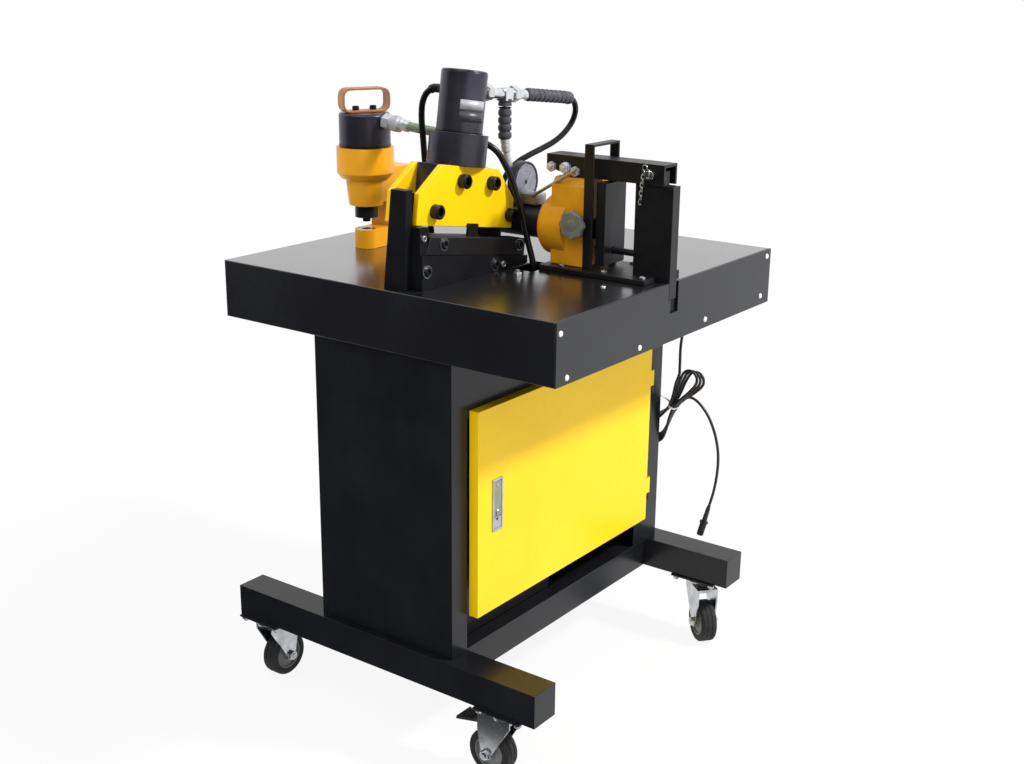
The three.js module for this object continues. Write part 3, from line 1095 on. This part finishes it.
// Lobed knobs on studs that turn in the casting's two sides
function lobedKnob(side) {
  const face = BENDER_X + side * CASTING_HALF;
  const outline = [];
  const points = KNOB_LOBES * KNOB_POINTS_PER_LOBE;
  for (let i = 0; i < points; i += 1) {
    const angle = (i / points) * 2 * Math.PI;
    const wave = Math.cos(KNOB_LOBES * angle) - 1;
    const radius = KNOB_RADIUS * (1 + KNOB_LOBE_RISE_SHARE * wave);
    outline.push([KNOB_Y + radius * Math.cos(angle), KNOB_Z + radius * Math.sin(angle)]);
  }
  const near = face + side * (YOKE_STRAP + NUT_THICK);
  const far = near + side * KNOB_THICK;
  const disc = plateYZ(outline, Math.min(near, far), Math.max(near, far));
  const collarFrom = face + side * GAP;
  const core = (near + far) / 2;
  const collar = bar('x', KNOB_COLLAR_RADIUS, Math.min(collarFrom, core), Math.max(collarFrom, core), KNOB_Y,
    KNOB_Z, SMALL_SIDES);
  const tip = face - side * KNOB_STUD_LENGTH;
  const stud = bar('x', KNOB_STUD_RADIUS, Math.min(tip, core), Math.max(tip, core), KNOB_Y, KNOB_Z,
    SMALL_SIDES);
  return join(disc, collar, stud);
}
add('knob_left', lobedKnob(-1), 'knob');
add('knob_right', lobedKnob(1), 'knob');

// Pressure gauge on its connection block
function gauge() {
  const blockBottom = BENDER_AXIS_Z + BENDER_CYLINDER_RADIUS + GAP;
  const mount = block(GAUGE_BLOCK_LEFT, GAUGE_BLOCK_RIGHT, GAUGE_BLOCK_FRONT, GAUGE_BLOCK_BACK, blockBottom,
    blockBottom + GAUGE_BLOCK_HEIGHT);
  const dish = turned('y', [[0, GAUGE_FACE + GAUGE_RIM], [GAUGE_RADIUS - GAUGE_RIM, GAUGE_FACE + GAUGE_RIM],
    [GAUGE_RADIUS - GAUGE_RIM, GAUGE_FACE], [GAUGE_RADIUS, GAUGE_FACE], [GAUGE_RADIUS, GAUGE_BACK],
    [0, GAUGE_BACK]], GAUGE_X, GAUGE_Z);
  return join(mount, dish);
}
add('pressure_gauge', gauge(), 'satin');

// Hoses
add('punch_hose', tubeAlong(PUNCH_HOSE_ROUTE, HOSE_RADIUS), 'hose');
add('return_hose', tubeAlong(RETURN_HOSE_ROUTE, HOSE_RADIUS), 'hose');

// A hose that starts inside a ribbed guard: the guard's share of the route comes from its own length
function guardedHose(guardEnd, route, ribs, tailRadius) {
  const curve = new THREE.CatmullRomCurve3(vectors(route), false, 'centripetal');
  const length = curve.getLength();
  const end = guardEnd / length;
  const stations = ribbed(curve, 0, end, ribs);
  const ferrule = Math.min(1, end + (2 * FERRULE_RADIUS) / length);
  stations.push({ point: curve.getPointAt(end + GAP / length), radius: FERRULE_RADIUS });
  stations.push({ point: curve.getPointAt(ferrule), radius: FERRULE_RADIUS });
  const steps = Math.round(((1 - ferrule) * length) / (2 * tailRadius * HOSE_STEP_DIAMETERS));
  for (let i = 0; i <= steps; i += 1) {
    const at = ferrule + GAP / length + (1 - ferrule - GAP / length) * (i / steps);
    stations.push({ point: curve.getPointAt(Math.min(at, 1)), radius: tailRadius });
  }
  return sweep(stations.map((s) => s.point), stations.map((s) => s.radius), HOSE_SIDES);
}
const lengthOf = (route) => new THREE.CatmullRomCurve3(vectors(route), false, 'centripetal').getLength();
add('supply_hose', guardedHose(lengthOf(SUPPLY_GUARD_ROUTE), [...SUPPLY_GUARD_ROUTE, ...SUPPLY_HOSE_ROUTE],
  SUPPLY_RIBS, HOSE_RADIUS), 'hose');
add('gauge_hose', guardedHose(lengthOf(GAUGE_HOSE_ROUTE.slice(0, 3)), GAUGE_HOSE_ROUTE, GAUGE_RIBS,
  PIPE_RADIUS), 'hose');

// Cord gland under the table: a nut and a tapered relief
const glandTop = tableBottom - GAP;
const glandShoulder = glandTop - GLAND_LENGTH;
const glandBottom = glandShoulder - GLAND_RELIEF;
add('cord_gland', turned('z', [[0, glandBottom], [CORD_RADIUS + RELIEF_WALL, glandBottom],
  [GLAND_SHOULDER_RADIUS, glandShoulder], [GLAND_RADIUS, glandShoulder], [GLAND_RADIUS, glandTop],
  [0, glandTop]], CORD_X, GLAND_Y, SMALL_SIDES), 'hose');

// Hank of cord: one unbroken tube that climbs one pitch a loop, drawn in at the tie
const hankTilt = THREE.MathUtils.degToRad(HANK_TILT);
function hankPoint(step) {
  const perLoop = HANK_STEPS;
  const quarter = perLoop / 4;
  const phase = ((step % perLoop) + perLoop) % perLoop;
  const side = phase < perLoop / 2 ? -1 : 1;
  const fromTop = phase < perLoop / 2 ? phase : perLoop - phase;
  const upper = fromTop <= quarter;
  const reach = upper ? HANK_UPPER : HANK_LOWER;
  const fromEnd = upper ? fromTop : 2 * quarter - fromTop;
  const straight = reach - HANK_END_RADIUS;
  const bendSteps = quarter / 2;
  let along;
  let half;
  if (fromEnd <= bendSteps) {
    const angle = (fromEnd / bendSteps) * (Math.PI / 2);
    along = straight + HANK_END_RADIUS * Math.cos(angle);
    half = HANK_END_RADIUS * Math.sin(angle);
  } else {
    const share = 1 - (fromEnd - bendSteps) / (quarter - bendSteps);
    along = straight * share;
    half = HANK_WAIST + (HANK_END_RADIUS - HANK_WAIST) * share * share * (3 - 2 * share);
  }
  const turn = step / perLoop;
  const fan = THREE.MathUtils.degToRad(HANK_FAN * (turn / HANK_LOOPS - 1 / 2));
  const u = (upper ? along : -along) * Math.cos(fan) - side * half * Math.sin(fan);
  const v = (upper ? along : -along) * Math.sin(fan) + side * half * Math.cos(fan);
  const forward = u * Math.sin(hankTilt) + v * Math.cos(hankTilt);
  const rise = u * Math.cos(hankTilt) - v * Math.sin(hankTilt);
  const across = HANK_PITCH * (turn - HANK_LOOPS / 2);
  return [HANK_X + across, HANK_CENTRE_Y - forward, HANK_CENTRE_Z + rise];
}
function hankRoute() {
  const quarter = HANK_STEPS / 4;
  const first = quarter / 2;
  const last = HANK_STEPS * HANK_LOOPS - quarter;
  const loops = [];
  for (let step = first; step <= last; step += 1) loops.push(hankPoint(step));
  const [x0, y0, z0] = loops[0];
  const lead = HANK_LEAD.map((rise) => [x0, y0, z0 + rise]);
  const [xa, ya, za] = loops[loops.length - 2];
  const [xb, yb, zb] = loops[loops.length - 1];
  const tip = new THREE.Vector3(xb - xa, yb - ya, zb - za).setLength(2 * CORD_RADIUS);
  return [...lead, ...loops, [xb + tip.x, yb + tip.y, zb + tip.z]];
}
const hank = hankRoute();

// The least gap between two stretches of the hank that aren't neighbours along the cord
function leastSelfGap(route) {
  const fine = new THREE.CatmullRomCurve3(vectors(route)).getSpacedPoints(HANK_CHECK_POINTS * route.length);
  const skip = Math.ceil(HANK_NEIGHBOUR / fine[0].distanceTo(fine[1]));
  let least = Infinity;
  for (let i = 0; i < fine.length; i += 1) {
    for (let j = i + skip; j < fine.length; j += 1) least = Math.min(least, fine[i].distanceTo(fine[j]));
  }
  return least - 2 * CORD_RADIUS;
}
console.log(`hank: least gap to itself ${leastSelfGap(hank).toFixed(2)} mm`);
add('cord_hank', sweep(vectors(hank), hank.map(() => CORD_RADIUS), CORD_SIDES), 'hose');

// The drop from the gland to the hank, and the tail from the hank to the plug
const [dropX, dropY, dropTopOfHank] = hank[0];
const dropRoute = [[CORD_X, GLAND_Y, glandBottom - GAP], [CORD_X, GLAND_Y, glandBottom - DROP_STRAIGHT],
  [(CORD_X + dropX) / 2, (GLAND_Y + dropY) / 2, (glandBottom + dropTopOfHank) / 2],
  [dropX, dropY, dropTopOfHank + DROP_STRAIGHT], [dropX, dropY, dropTopOfHank + GAP]];
add('cord_drop', tubeAlong(dropRoute, CORD_RADIUS), 'hose');
const [endX, endY, endZ] = hank[hank.length - 1];
const before = new THREE.Vector3(...hank[hank.length - 2]);
const leave = new THREE.Vector3(endX, endY, endZ).sub(before).normalize();
const tailStart = new THREE.Vector3(endX, endY, endZ).addScaledVector(leave, 2 * GAP);
const tailX = (i) => endX
  + (CORD_X - endX) * Math.max(0, (i - TAIL_UPRIGHT) / (TAIL_ROUTE.length - TAIL_UPRIGHT));
const tailRoute = [tailStart.toArray(), tailStart.clone().addScaledVector(leave, CORD_RADIUS).toArray(),
  tailStart.clone().addScaledVector(leave, 3 * CORD_RADIUS).toArray(),
  ...TAIL_ROUTE.map(([y, z], i) => [tailX(i), y, z])];
add('cord_tail', tubeAlong(tailRoute, CORD_RADIUS), 'hose');

// Round connector at the end of the tail: relief, flange and body on the tail's last direction
function plug() {
  const [last, previous] = [tailRoute[tailRoute.length - 1], tailRoute[tailRoute.length - 2]];
  const heading = new THREE.Vector3(...last).sub(new THREE.Vector3(...previous)).normalize();
  const total = PLUG_RELIEF + PLUG_FLANGE + PLUG_LENGTH;
  const profile = [[0, 0], [CORD_RADIUS + RELIEF_WALL, 0], [PLUG_RELIEF_RADIUS, PLUG_RELIEF],
    [PLUG_FLANGE_RADIUS, PLUG_RELIEF], [PLUG_FLANGE_RADIUS, PLUG_RELIEF + PLUG_FLANGE],
    [PLUG_RADIUS, PLUG_RELIEF + PLUG_FLANGE], [PLUG_RADIUS, total], [0, total]];
  const geometry = new THREE.LatheGeometry(profile.map(([r, d]) => new THREE.Vector2(r, d)), SMALL_SIDES);
  const turn = new THREE.Quaternion().setFromUnitVectors(new THREE.Vector3(0, 1, 0), heading);
  geometry.applyQuaternion(turn);
  return solid(geometry.translate(...new THREE.Vector3(...last).addScaledVector(heading, GAP).toArray()));
}
add('cord_plug', plug(), 'hose');

export default group;
